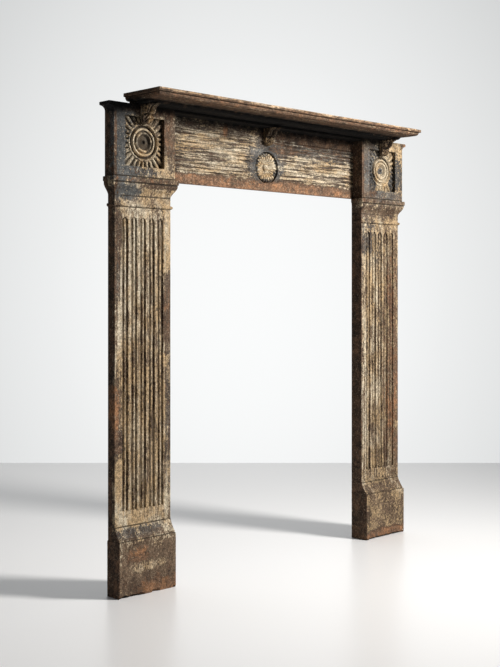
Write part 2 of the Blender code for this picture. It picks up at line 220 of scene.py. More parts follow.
def follow(profile, at):
    """Read a list of (position, value) pairs with straight lines between them."""
    previous = profile[0]
    for current in profile:
        if at <= current[0]:
            part = (at - previous[0]) / max(current[0] - previous[0], 1e-9)
            return previous[1] + part * (current[1] - previous[1])
        previous = current
    return previous[1]


def spaced(start, end, steps):
    """Divide a length evenly, with its start and without its end."""
    return [start + (end - start) * i / steps for i in range(steps)]


def cast_skin(place):
    """Unevenness that the sand of the mould left on the iron, always inward."""
    broad = 0.00032 * noise.fractal(place / 0.050, 0.9, 2.1, 3)
    fine = 0.00013 * noise.fractal(place / 0.008, 0.9, 2.1, 2)
    return 0.0004 + broad + fine


def bend_grid(columns, rows, place):
    """Bend a flat grid into a skin. place(column, row) gives a point and how hollow it lies."""
    bm = bmesh.new()
    hollow = bm.verts.layers.float.new("hollow")
    bmesh.ops.create_grid(bm, x_segments=columns, y_segments=rows, size=0.5)
    for vert in bm.verts:
        column = round((vert.co.x + 0.5) * columns)
        row = round((vert.co.y + 0.5) * rows)
        vert.co, vert[hollow] = place(column, row)
    return bm


def set_disc(bm, middle, half, radii, depth_at):
    """Cut a square out of a skin and set a turned disc in it, pulled out at its rim to fit."""
    hollow = bm.verts.layers.float["hollow"]
    inside = []
    for face in bm.faces:
        offset = face.calc_center_median() - middle
        if max(abs(offset.x), abs(offset.z)) < half and abs(offset.y) < 0.02:
            inside.append(face)
    bmesh.ops.delete(bm, geom=inside, context="FACES")
    skin = set(bm.verts)
    shares = [0.06, 0.16, 0.30, 0.45, 0.60, 0.75, 0.88, 0.97, 1.0, 1.0]
    row = [bm.verts.new((step, 0.0, 0.0)) for step in range(len(radii) + len(shares))]
    edges = [bm.edges.new(pair) for pair in zip(row, row[1:])]
    bmesh.ops.spin(bm, geom=row + edges, cent=(0, 0, 0), axis=(0, 1, 0), dvec=(0, 0, 0),
                   angle=2 * math.pi, steps=SPOKES, use_merge=True, use_duplicate=False)
    disc = [vert for vert in bm.verts if vert not in skin]
    bmesh.ops.remove_doubles(bm, verts=disc, dist=1e-4)
    for vert in bm.verts:
        if vert in skin:
            continue
        ring = round(math.hypot(vert.co.x, vert.co.z))
        turn = math.atan2(vert.co.z, vert.co.x)
        if ring < len(radii):
            radius = radii[ring]
            depth = depth_at(radius, turn, 0.0)
        else:
            share = shares[ring - len(radii)]
            edge = half / max(abs(math.cos(turn)), abs(math.sin(turn)))
            radius = radii[-1] + share * (edge - radii[-1])
            depth = 0.0 if ring == len(radii) + len(shares) - 1 else depth_at(radius, turn, share)
        place = middle + Vector((radius * math.cos(turn), depth, radius * math.sin(turn)))
        place.y += cast_skin(place - Vector((0.0, depth, 0.0)))
        if depth > 0.003:
            place.y += 0.0004 * noise.noise(place / 0.004)
        vert.co = place
        # Deeper parts of the disc are marked darker, as painted shade with some soiling.
        vert[hollow] = depth / 0.0145
    weld_rims(bm)


def weld_rims(bm):
    """Join the open edges that lie on each other."""
    bmesh.ops.remove_doubles(bm, verts=[vert for vert in bm.verts if vert.is_boundary], dist=3e-5)


def ray_depth(turn, share):
    """Depth of the rays that fan out from the roundel's bead to the edge of its recess."""
    position = turn / (2 * math.pi) * ROUNDEL_RAYS
    across = abs(position - round(position))
    half_width = 0.47 - 0.15 * share
    crest = 0.0072 + 0.0030 * share
    if across >= half_width:
        return 0.0142
    return crest + (0.0142 - crest) * (across / half_width) ** 3


def roundel_depth(radius, turn, share):
    """Depth of the roundel below the front of its block."""
    return ray_depth(turn, share) if share > 0.0 else follow(ROUNDEL_PROFILE, radius)


def jamb_levels():
    """List the jamb's outline from the floor up: z, outward, inward and forward steps."""
    levels = [(z, 0.0025, 0.0, 0.0242) for z in [0.0] + spaced(0.0115, 0.1510, 28)]
    levels += [
        (0.1528, 0.0025, 0.0, 0.0242),
        (0.1540, 0.0023, 0.0, 0.0240),
        (0.1546, 0.0015, 0.0, 0.0231),
        (0.1548, 0.0006, 0.0, 0.0216),
        (0.1552, 0.0002, 0.0, 0.0206),
        (0.1580, 0.0001, 0.0, 0.0203),
        (0.1603, 0.0000, 0.0, 0.0199),
    ]
    for step in range(0, 13):
        rise = math.sin(math.radians(90 * step / 12))
        levels.append((0.1610 + 0.0307 * rise, 0.0, 0.0, 0.0012 + 0.0168 * (1 - rise) ** 1.4))
    heights = [0.1919] + spaced(0.1935, FLUTE_FOOT, 9)
    heights += [FLUTE_FOOT, FLUTE_FOOT + 0.0004, FLUTE_FOOT + 0.0016]
    heights += spaced(FLUTE_FOOT + 0.0040, FLUTE_SPRING, 150)
    heights += [FLUTE_SPRING + FLUTE_HALF * math.sin(math.radians(84 * i / 10)) for i in range(11)]
    heights += spaced(1.0529, 1.0806, 7)
    levels += [(z, 0.0, 0.0, 0.0) for z in heights]
    for step in range(0, 11):
        angle = math.radians(-90 + 18 * step)
        swell = 0.0050 * math.cos(angle)
        levels.append((1.0860 + 0.0050 * math.sin(angle), swell, swell, swell))
    levels += [(z, 0.0, 0.0, 0.0) for z in spaced(1.0916, 1.1120, 6)]
    for step in range(0, 15):
        swell = 0.0150 * (1 - math.cos(math.pi * step / 14)) / 2
        levels.append((1.1120 + 0.0347 * step / 14, swell, swell, swell))
    levels += [(z, swell, swell, swell) for z, swell in (
        (1.1495, 0.0150), (1.1506, 0.0153), (1.1510, 0.0170), (1.1520, 0.0175),
        (1.1575, 0.0175), (1.1630, 0.0175), (1.1640, 0.0168), (1.1643, 0.0150))]
    outward, inward, forward = BLOCK_STEPS
    heights = spaced(1.1646, ROUNDEL_Z - ROUNDEL_HALF, 9)
    heights += [ROUNDEL_Z + ROUNDEL_HALF * share for share in SQUARE_SHARES]
    heights += [1.3385, 1.3415]
    levels += [(z, outward, inward, forward) for z in heights]
    for step in range(0, 9):
        angle = math.radians(90 * step / 8)
        reach = outward + 0.0160 * (1 - math.cos(angle))
        levels.append((1.3440 + 0.0150 * math.sin(angle), reach, inward, forward))
    levels += [(z, reach, inward, forward) for z, reach in (
        (1.3593, 0.0285), (1.3606, 0.0297), (1.3640, 0.0299), (1.3670, 0.0298), (1.3684, 0.0288),
        (BLOCK_TOP, 0.0270), (BLOCK_TOP, 0.0230))]
    return levels


def jamb_front_shares():
    """Pair each front column's place across the shaft with its place across the block."""
    middle = SHAFT_WIDTH / 2
    margin = [0.0, 0.0008] + spaced(0.0035, 0.02639, 8)
    shaft = list(margin)
    for flute in range(-2, 3):
        centre = middle + flute * FLUTE_PITCH
        if flute > -2:
            shaft += spaced(centre - FLUTE_PITCH + FLUTE_HALF, centre - FLUTE_HALF, 4)[1:]
        shaft += [centre - distance for distance, depth in reversed(FLUTE_SECTION)]
        shaft += [centre + distance for distance, depth in FLUTE_SECTION[1:]]
    shaft += [SHAFT_WIDTH - x for x in reversed(margin)]
    spare = (len(shaft) - len(SQUARE_SHARES)) // 2
    half = BLOCK_WIDTH / 2
    margin = [0.0] + spaced(0.0008, half - ROUNDEL_HALF, spare - 1)
    block = list(margin)
    block += [half + ROUNDEL_HALF * share for share in SQUARE_SHARES]
    block += [BLOCK_WIDTH - x for x in reversed(margin)]
    return [(a / SHAFT_WIDTH, b / BLOCK_WIDTH) for a, b in zip(shaft, block)]


def press_flute(across, z):
    """Give a shaft point's new place across and its depth, where a flute runs through it."""
    if not FLUTE_FOOT < z < FLUTE_SPRING + FLUTE_HALF:
        return across, 0.0
    flute = max(-2, min(2, round((across - SHAFT_WIDTH / 2) / FLUTE_PITCH)))
    middle = SHAFT_WIDTH / 2 + flute * FLUTE_PITCH
    offset = across - middle
    distance = abs(offset)
    narrow = math.sqrt(max(0.0, 1 - (max(0.0, z - FLUTE_SPRING) / FLUTE_HALF) ** 2))
    depth = 0.0
    if distance < FLUTE_HALF - 1e-6:
        depth = FLUTE_DEPTH - (FLUTE_DEPTH - follow(FLUTE_SECTION, distance)) * narrow ** 0.5
        depth *= min(1.0, (z - FLUTE_FOOT) / 0.0004)
    if distance <= FLUTE_HALF:
        distance *= narrow
    elif distance < FLUTE_PITCH / 2:
        left = (FLUTE_PITCH / 2 - distance) / (FLUTE_PITCH / 2 - FLUTE_HALF)
        distance = FLUTE_PITCH / 2 - left * (FLUTE_PITCH / 2 - FLUTE_HALF * narrow)
    return middle + math.copysign(distance, offset), depth


def foot_lift(x, lugs):
    """Height of the plinth's ragged lower rim over the floor, with lugs that reach down to it."""
    for low, high in lugs:
        if low < x < high:
            return 0.0002
    return 0.0066 + 0.0045 * noise.noise(Vector((x / 0.014, 0.0, 3.0)))


def build_jamb(side, lugs, clog):
    """Bend a grid into the jamb's skin, all the way round, and set the roundel in its block.

    lugs are the stretches where the foot reaches the floor, and clog is the depth down to which
    old paint fills the roundel.
    """
    levels = jamb_levels()
    flank = [0.0, 0.25, 0.5, 0.75, 0.96]
    columns = [("return", 0.0, 0.0)] + [("inner", share, share) for share in flank]
    columns += [("front", shaft, block) for shaft, block in jamb_front_shares()]
    columns += [("outer", share, share) for share in reversed(flank)]
    columns += [("back", share, share) for share in (0.96, 0.95, 0.75, 0.5, 0.25, 0.06, 0.051)]
    columns += [("return", 1.0, 1.0), ("return", 0.0, 0.0)]

    def place(column, row):
        kind, in_shaft, in_block = columns[column]
        z, outward, inward, forward = levels[row]
        inner_x = SHAFT_INNER - inward
        width = SHAFT_WIDTH + inward + outward
        front_y = SHAFT_FRONT - forward
        share = in_shaft + (in_block - in_shaft) * min(1.0, max(0.0, (z - CAPITAL_FOOT) / 0.0160))
        x, y, hollow = inner_x + width * share, front_y, 0.0
        if kind == "return":
            x = SHAFT_INNER + RETURN_THICKNESS * share
            y = RETURN_BACK if z <= RETURN_TOP else JAMB_BACK
        elif kind == "back":
            sunk = 0.045 < share < 0.955 and 0.012 < z < 1.350
            y = JAMB_BACK - (BACK_SINK if sunk else 0.0)
        elif kind == "front":
            across, depth = press_flute(share * SHAFT_WIDTH, z)
            if depth > 0.0 or FLUTE_FOOT < z < 1.0525:
                x = SHAFT_INNER + across
            y += depth + cast_skin(Vector((side * x, y, z)))
            # Flute grooves and the lines between mouldings are marked darker, as painted shade with some
            # soiling.
            hollow = max(depth / FLUTE_DEPTH * 0.8, follow(LEDGE_GRIME_AND_SHADE, z))
            if share in (0.0, 1.0):
                x += 0.0004 if share == 0.0 else -0.0004
        else:
            x = inner_x if kind == "inner" else inner_x + width
            y = JAMB_BACK + (front_y - JAMB_BACK) * share
            if share > 0.0:
                dent = cast_skin(Vector((side * x, y, z)))
                x += dent if kind == "inner" else -dent
        if row == 0 and kind == "front":
            z = foot_lift(side * x, lugs)
        return Vector((side * x, y, z)), hollow

    bm = bend_grid(len(columns) - 1, len(levels) - 1, place)
    weld_rims(bm)
    middle = Vector((side * ROUNDEL_X, SHAFT_FRONT - BLOCK_STEPS[2], ROUNDEL_Z))
    set_disc(bm, middle, ROUNDEL_HALF, [radius for radius, depth in ROUNDEL_PROFILE],
             lambda radius, turn, share: min(clog, roundel_depth(radius, turn, share)))
    return bm


def mark_crests(bm):
    """Store on each vertex how far it stands out from its neighbours, for the wear on the arrises and the
    painted shade in concave spots.
    """
    crest = bm.verts.layers.float.new("crest")
    bm.normal_update()
    for vert in bm.verts:
        near = [edge.other_vert(vert).co for edge in vert.link_edges]
        middle = sum(near, Vector()) / len(near)
        reach = sum((place - vert.co).length for place in near) / len(near)
        vert[crest] = (vert.co - middle).dot(vert.normal) / max(reach, 1e-6)
    for turn in range(2):
        old = {vert: vert[crest] for vert in bm.verts}
        for vert in bm.verts:
            near = [old[edge.other_vert(vert)] for edge in vert.link_edges]
            vert[crest] = 0.4 * old[vert] + 0.6 * sum(near) / len(near)


def finish_casting(node, bm, material):
    """Close the skin and make it the piece that stands for a CAD node."""
    bmesh.ops.dissolve_degenerate(bm, edges=bm.edges, dist=1e-6)
    bmesh.ops.holes_fill(bm, edges=[edge for edge in bm.edges if edge.is_boundary], sides=0)
    bmesh.ops.recalc_face_normals(bm, faces=bm.faces)
    mark_crests(bm)
    mesh = make_mesh(node + "_casting", bm)
    mesh.polygons.foreach_set("use_smooth", [True] * len(mesh.polygons))
    mesh.set_sharp_from_angle(angle=math.radians(42))
    mesh.materials.append(material)
    piece = set_up(node + "_casting", mesh)
    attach(piece, "root")
    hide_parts(node)


def calc(tree, operation, *values, clamp=False):
    """Add a Math node and return its output."""
    made = add_node(tree, "ShaderNodeMath", dict(enumerate(values)), operation=operation, use_clamp=clamp)
    return made.outputs[0]


def noise_value(tree, vector, scale, detail=4.0, roughness=0.6):
    """Add a noise texture and return its value."""
    inputs = {"Vector": vector, "Scale": scale, "Detail": detail, "Roughness": roughness}
    return add_node(tree, "ShaderNodeTexNoise", inputs).outputs[0]


def fade(tree, value, start, end, low=0.0, high=1.0):
    """Add a smooth Map Range node from start to end and return its output."""
    inputs = {"Value": value, "From Min": start, "From Max": end, "To Min": low, "To Max": high}
    return add_node(tree, "ShaderNodeMapRange", inputs, interpolation_type="SMOOTHSTEP").outputs[0]


def blend(tree, factor, first, second):
    """Mix two colours and return the result."""
    return add_node(tree, "ShaderNodeMix", {0: factor, 6: first, 7: second}, data_type="RGBA").outputs[2]


def new_group(name, inputs, outputs):
    """Start a shader node group; each input and output is a (name, kind) pair."""
    tree = bpy.data.node_groups.new(name, "ShaderNodeTree")
    for names, direction in ((inputs, "INPUT"), (outputs, "OUTPUT")):
        for label, kind in names:
            tree.interface.new_socket(label, in_out=direction, socket_type="NodeSocket" + kind)
    return tree, tree.nodes.new("NodeGroupInput").outputs, tree.nodes.new("NodeGroupOutput").inputs


# Rusted iron: dark brown with redder and orange blooms, pitted all over.
rusted_iron, given, result = new_group(
    "rusted_iron", [("Vector", "Vector"), ("Bloom", "Float")],
    [("Color", "Color"), ("Roughness", "Float"), ("Height", "Float")])
rust_clouds = noise_value(rusted_iron, given["Vector"], 34.0, 8.0, 0.7)
rust_grain = noise_value(rusted_iron, given["Vector"], 230.0, 4.0, 0.7)
rust_tone = calc(rusted_iron, "MULTIPLY_ADD", given["Bloom"], 0.17, rust_clouds)
rust_tone = calc(rusted_iron, "MULTIPLY_ADD", rust_grain, 0.30, rust_tone)
rust_ramp = add_node(rusted_iron, "ShaderNodeValToRGB", {"Fac": rust_tone})
rust_ramp.color_ramp.elements[0].position = 0.46
rust_ramp.color_ramp.elements[0].color = (0.014, 0.009, 0.006, 1.0)
rust_ramp.color_ramp.elements[1].position = 0.99
rust_ramp.color_ramp.elements[1].color = (0.240, 0.120, 0.058, 1.0)
for stop, colour in ((0.58, (0.040, 0.025, 0.016, 1.0)), (0.70, (0.084, 0.050, 0.031, 1.0)),
                     (0.84, (0.140, 0.078, 0.045, 1.0))):
    rust_ramp.color_ramp.elements.new(stop).color = colour
rusted_iron.links.new(rust_ramp.outputs["Color"], result["Color"])
rusted_iron.links.new(fade(rusted_iron, rust_grain, 0.3, 0.7, 0.80, 0.95), result["Roughness"])
rusted_iron.links.new(rust_grain, result["Height"])

# A coat that has flaked: crisp ragged patches whose share of the surface follows Cover.
flaked_coat, given, result = new_group(
    "flaked_coat", [("Vector", "Vector"), ("Cover", "Float")], [("Mask", "Float"), ("Height", "Float")])
flake_broad = noise_value(flaked_coat, given["Vector"], 30.0, 9.0, 0.72)
flake_fine = noise_value(flaked_coat, given["Vector"], 210.0, 4.0, 0.7)
flake_value = calc(flaked_coat, "MULTIPLY", calc(flaked_coat, "ADD", flake_broad, flake_fine), 0.50)
flake_limit = calc(flaked_coat, "MULTIPLY_ADD", given["Cover"], -0.36, 0.68)
flake_gap = calc(flaked_coat, "SUBTRACT", flake_value, flake_limit)
flaked_coat.links.new(fade(flaked_coat, flake_gap, -0.010, 0.010), result["Mask"])
flaked_coat.links.new(fade(flaked_coat, flake_gap, -0.016, 0.024), result["Height"])

# A soft-edged patch on the surface, with a wandering outline.
soft_patch, given, result = new_group(
    "soft_patch", [("Vector", "Vector"), ("Centre", "Vector"), ("Radii", "Vector")], [("Mask", "Float")])
patch_offset = add_node(soft_patch, "ShaderNodeVectorMath", {0: given["Vector"], 1: given["Centre"]},
                        operation="SUBTRACT").outputs[0]
patch_offset = add_node(soft_patch, "ShaderNodeVectorMath", {0: patch_offset, 1: given["Radii"]},
                        operation="DIVIDE").outputs[0]
patch_reach = add_node(soft_patch, "ShaderNodeVectorMath", {0: patch_offset}, operation="LENGTH").outputs[1]
patch_wander = noise_value(soft_patch, given["Vector"], 55.0, 6.0, 0.7)
patch_reach = calc(soft_patch, "MULTIPLY_ADD", patch_wander, 1.5, patch_reach)
soft_patch.links.new(fade(soft_patch, patch_reach, 1.30, 2.05, 1.0, 0.0), result["Mask"])


def place_group(tree, group, inputs):
    """Put a node group in a material and return its outputs."""
    return add_node(tree, "ShaderNodeGroup", inputs, node_tree=group).outputs


def aged_paint(name, grain, run, span, back, covers, patches, cream=(0.43, 0.37, 0.272)):
    """Make old paint on rusty iron: bare rust, an umber coat, a cream coat over it, and soiling mixed with
    painted shade.

    The flakes stretch with grain. The fine streaks stretch with run and lie between the heights of
    span. Behind the depth of back the iron is bare. covers says how much of the surface the coats,
    the blooms of rust, the soiling with painted shade and the near-black painted shadow take, and
    how far the umber turns to cool slate and the cream to ochre. Each patch (centre, radii,
    changes) adds to some of them or takes from them around a place.
    """
    material = bpy.data.materials.new(name)
    material.use_nodes = True
    tree = material.node_tree
    shader = tree.nodes["Principled BSDF"]
    where = add_node(tree, "ShaderNodeTexCoord").outputs["Object"]
    along = add_node(tree, "ShaderNodeMapping", {"Vector": where, "Scale": grain}).outputs["Vector"]
    lines = add_node(tree, "ShaderNodeMapping", {"Vector": where, "Scale": run}).outputs["Vector"]
    streak = noise_value(tree, lines, 170.0, 5.0, 0.62)
    axes = add_node(tree, "ShaderNodeSeparateXYZ", {"Vector": where}).outputs
    reeded = calc(tree, "MULTIPLY", fade(tree, axes["Z"], span[0], span[0] + 0.020),
                  fade(tree, axes["Z"], span[1], span[1] - 0.020))
    streak = calc(tree, "MULTIPLY_ADD", calc(tree, "SUBTRACT", streak, 0.5), reeded, 0.5)
    crest = add_node(tree, "ShaderNodeAttribute", attribute_name="crest").outputs["Fac"]
    hollow = add_node(tree, "ShaderNodeAttribute", attribute_name="hollow").outputs["Fac"]
    amount = dict(covers)
    for centre, radii, changes in patches:
        patch = place_group(tree, soft_patch, {"Vector": where, "Centre": centre, "Radii": radii})
        for layer, change in changes.items():
            amount[layer] = calc(tree, "MULTIPLY_ADD", patch["Mask"], change, amount[layer])
    kept = calc(tree, "ADD", amount["cream"], fade(tree, crest, 0.08, 0.35, 0.0, -0.20))
    kept = calc(tree, "ADD", kept, fade(tree, streak, 0.30, 0.70, -0.28, 0.28))
    kept = calc(tree, "ADD", kept, fade(tree, axes["Y"], back - 0.001, back + 0.001, 0.0, -2.0))
    under = calc(tree, "ADD", kept, amount["umber"])
    iron = place_group(tree, rusted_iron, {"Vector": where, "Bloom": amount["bloom"]})
    umber_coat = place_group(tree, flaked_coat, {"Vector": along, "Cover": under})
    cream_coat = place_group(tree, flaked_coat, {"Vector": along, "Cover": kept})
    stains = noise_value(tree, along, 14.0, 8.0, 0.7)
    specks = noise_value(tree, where, 260.0, 3.0, 0.6)
    mottle = noise_value(tree, where, 120.0, 6.0, 0.75)
    speckle = noise_value(tree, along, 380.0, 2.0, 0.5)
    umber_tone = blend(tree, fade(tree, stains, 0.40, 0.60), (0.058, 0.036, 0.022, 1.0),
                       (0.124, 0.083, 0.052, 1.0))
    slate_tone = blend(tree, fade(tree, stains, 0.40, 0.60), (0.030, 0.031, 0.031, 1.0),
                       (0.074, 0.076, 0.074, 1.0))
    cool = calc(tree, "MULTIPLY", amount["cool"], 1.0, clamp=True)
    umber_tone = blend(tree, cool, umber_tone, slate_tone)
    ochre = calc(tree, "ADD", fade(tree, stains, 0.60, 0.40), amount["ochre"])
    ochre = calc(tree, "ADD", ochre, fade(tree, streak, 0.52, 0.34, 0.0, 0.8), clamp=True)
    cream_tone = blend(tree, ochre, (*cream, 1.0), (cream[0] * 0.76, cream[1] * 0.62, cream[2] * 0.46, 1.0))
    bleached = fade(tree, streak, 0.54, 0.68, 0.0, 0.45)
    cream_tone = blend(tree, bleached, cream_tone, (0.30, 0.28, 0.245, 1.0))
    stained = fade(tree, specks, 0.54, 0.64, 0.0, 0.7)
    cream_tone = blend(tree, stained, cream_tone, (0.11, 0.078, 0.052, 1.0))
    colour = blend(tree, umber_coat["Mask"], iron["Color"], umber_tone)
    colour = blend(tree, cream_coat["Mask"], colour, cream_tone)
    flecks = calc(tree, "MULTIPLY", fade(tree, specks, 0.61, 0.67), covers["flecks"])
    colour = blend(tree, flecks, colour, (0.36, 0.30, 0.215, 1.0))
    shade = fade(tree, mottle, 0.36, 0.62, 0.55, 1.30)
    shade = calc(tree, "MULTIPLY", shade, fade(tree, speckle, 0.35, 0.65, 0.62, 1.34))
    shade = add_node(tree, "ShaderNodeCombineXYZ", {0: shade, 1: shade, 2: shade}).outputs[0]
    colour = add_node(tree, "ShaderNodeMix", {0: 1.0, 6: colour, 7: shade}, data_type="RGBA",
                      blend_type="MULTIPLY").outputs[2]
    # Painted shade mixed with real soiling: near-black laid on the hollow places (flute and reed grooves,
    # roundel and patera, lines between mouldings, the shelf's quirk, the leaf's lip) and on concave spots
    # where shade falls, over noise clouds and the patches' amounts.
    grime_and_shade = noise_value(tree, where, 60.0, 6.0, 0.7)
    grime_and_shade = calc(tree, "MULTIPLY_ADD", calc(tree, "POWER", hollow, 2.2), 0.75, grime_and_shade)
    grime_and_shade = calc(tree, "ADD", grime_and_shade, amount["dirt_and_shade"])
    grime_and_shade = calc(tree, "ADD", grime_and_shade, fade(tree, crest, -0.05, -0.35, 0.0, 0.3))
    grime_and_shade = fade(tree, grime_and_shade, 0.70, 1.10, 0.0, 0.90)
    colour = blend(tree, grime_and_shade, colour, (0.018, 0.012, 0.007, 1.0))
    # Painted shadow: near-black laid where the shelf's shadow falls on the blocks, frieze, soffit and
    # brackets, and in the roundel's middle cup.
    painted_shadow = calc(tree, "MULTIPLY", amount["painted_shadow"], 0.96, clamp=True)
    colour = blend(tree, painted_shadow, colour, (0.0022, 0.0016, 0.0013, 1.0))
    tree.links.new(colour, shader.inputs["Base Color"])
    shader.inputs["Specular IOR Level"].default_value = 0.22
    dullness = calc(tree, "MULTIPLY_ADD", umber_coat["Mask"], -0.14, iron["Roughness"])
    tree.links.new(calc(tree, "MULTIPLY_ADD", grime_and_shade, 0.1, dullness), shader.inputs["Roughness"])
    height = calc(tree, "MULTIPLY_ADD", iron["Height"], 0.5, umber_coat["Height"])
    height = calc(tree, "ADD", height, cream_coat["Height"])
    height = calc(tree, "MULTIPLY_ADD", mottle, 1.2, height)
    bump = add_node(tree, "ShaderNodeBump", {"Strength": 0.8, "Distance": 0.0008, "Height": height})
    tree.links.new(bump.outputs["Normal"], shader.inputs["Normal"])
    return material


left_jamb_paint = aged_paint(
    "left_jamb_paint",
    (1.3, 1.0, 0.60),
    (1.0, 0.5, 0.03),
    (0.195, 1.075),
    0.060,
    {"cream": 0.58, "umber": 0.26, "cool": 0.0, "ochre": 0.0, "bloom": 0.20, "dirt_and_shade": -0.06, "painted_shadow": 0.0,
     "flecks": 0.7},
    [
        # Outer side, which faces away from the key light: cream taken off for bare rust, and painted shade
        # darkens it further.
        ((-0.632, 0.07, 0.6), (0.006, 0.07, 1.5), {"cream": -1.0, "dirt_and_shade": 0.15}),
        ((-0.655, 0.07, 1.27), (0.014, 0.07, 0.16), {"cream": -1.0, "dirt_and_shade": 0.2}),
        # Painted shadow of the shelf on the cap and on the top of the block.
        ((-0.645, 0.05, 1.362), (0.05, 0.08, 0.022), {"painted_shadow": 0.9}),
        ((-0.5, 0.05, 1.372), (0.16, 0.08, 0.02), {"painted_shadow": 0.95}),
        ((-0.618, 0.036, 1.26), (0.034, 0.03, 0.12), {"cream": -0.42}),
        ((-0.618, 0.036, 1.26), (0.05, 0.03, 0.12), {"umber": 0.45}),
        ((-0.61, 0.036, 1.25), (0.08, 0.03, 0.13), {"cool": 1.1}),
        ((-0.527, 0.036, 1.362), (0.14, 0.06, 0.022), {"cream": -0.5}),
        ((-0.56, 0.036, 1.18), (0.09, 0.03, 0.014), {"cream": -0.3}),
        ((-0.56, 0.036, 1.18), (0.11, 0.03, 0.014), {"cool": 0.9}),
        ((-0.436, 0.036, 1.29), (0.03, 0.03, 0.09), {"cream": -0.35}),
        ((-0.436, 0.036, 1.29), (0.024, 0.06, 0.07), {"bloom": 0.5}),
        ((-0.537, 0.046, 1.236), (0.016, 0.03, 0.01), {"cream": 1.1, "dirt_and_shade": -0.9}),
        # Darker over the roundel's middle: painted shade in the sunk dish, with some soiling.
        ((-0.527, 0.05, 1.2654), (0.03, 0.03, 0.03), {"dirt_and_shade": 0.7}),
        ((-0.46, 0.036, 1.184), (0.04, 0.03, 0.014), {"cream": 0.08}),
        # Painted shadow of the shelf on the cap.
        ((-0.62, 0.036, 1.345), (0.06, 0.03, 0.026), {"painted_shadow": 0.5}),
        # Painted shade in the roundel's middle cup.
        ((-0.527, 0.05, 1.2654), (0.008, 0.03, 0.008), {"painted_shadow": 0.6}),
        ((-0.527, 0.044, 1.2654), (0.044, 0.006, 0.044), {"cream": 0.3}),
        ((-0.5, 0.045, 1.11), (0.06, 0.06, 0.03), {"ochre": 0.6}),
        ((-0.5, 0.045, 1.12), (0.1, 0.06, 0.036), {"dirt_and_shade": 0.1}),
        ((-0.47, 0.04, 1.142), (0.08, 0.06, 0.008), {"cream": -0.3}),
        ((-0.585, 0.047, 1.122), (0.044, 0.06, 0.024), {"cream": -0.34, "umber": 0.2}),
        ((-0.585, 0.047, 1.122), (0.05, 0.06, 0.024), {"cool": 0.9}),
        ((-0.526, 0.03, 1.157), (0.15, 0.03, 0.008), {"cream": -0.25, "ochre": 0.9, "bloom": 0.9}),
        ((-0.437, 0.047, 1.0), (0.016, 0.04, 0.1), {"cream": 0.35}),
        ((-0.436, 0.047, 0.79), (0.017, 0.04, 0.12), {"cream": -0.7, "bloom": 0.4, "umber": 0.35}),
        ((-0.434, 0.047, 0.5), (0.013, 0.04, 0.2), {"cream": -0.25}),
        ((-0.434, 0.047, 0.48), (0.013, 0.04, 0.2), {"cool": 0.5}),
        ((-0.617, 0.047, 0.935), (0.012, 0.04, 0.165), {"cream": -0.45}),
        ((-0.617, 0.047, 0.9), (0.012, 0.04, 0.08), {"cool": 0.6}),
        ((-0.61, 0.047, 0.74), (0.01, 0.04, 0.09), {"cream": 0.2}),
        ((-0.622, 0.047, 0.52), (0.014, 0.04, 0.075), {"bloom": 1.5, "cream": -0.4}),
        ((-0.526, 0.047, 0.48), (0.11, 0.04, 0.3), {"ochre": 0.35}),
        ((-0.616, 0.047, 0.425), (0.02, 0.04, 0.034), {"cream": -0.6}),
        ((-0.616, 0.047, 0.425), (0.03, 0.04, 0.034), {"cool": 1.0}),
        ((-0.612, 0.047, 0.29), (0.014, 0.04, 0.09), {"cream": 0.4}),
        ((-0.526, 0.047, 0.23), (0.11, 0.04, 0.045), {"cream": 0.2}),
        ((-0.56, 0.04, 0.18), (0.1, 0.05, 0.02), {"cool": 0.7}),
        ((-0.56, 0.036, 0.172), (0.1, 0.06, 0.016), {"cream": -0.2}),
        ((-0.526, 0.023, 0.07), (0.15, 0.03, 0.09),
         {"cream": -0.4, "dirt_and_shade": 0.2, "bloom": 0.2, "umber": 0.16, "ochre": 0.5}),
        ((-0.5, 0.023, 0.008), (0.12, 0.03, 0.03), {"dirt_and_shade": 0.14}),
        ((-0.56, 0.023, 0.11), (0.04, 0.03, 0.026), {"umber": -0.2}),
        ((-0.53, 0.023, 0.078), (0.08, 0.03, 0.016), {"cream": 0.32}),
        ((-0.56, 0.023, 0.11), (0.04, 0.03, 0.03), {"bloom": 1.1}),
        ((-0.48, 0.023, 0.01), (0.1, 0.03, 0.028), {"bloom": 0.9}),
        ((-0.48, 0.023, 0.01), (0.1, 0.03, 0.026), {"cream": -0.3, "umber": -0.35}),
    ],
)
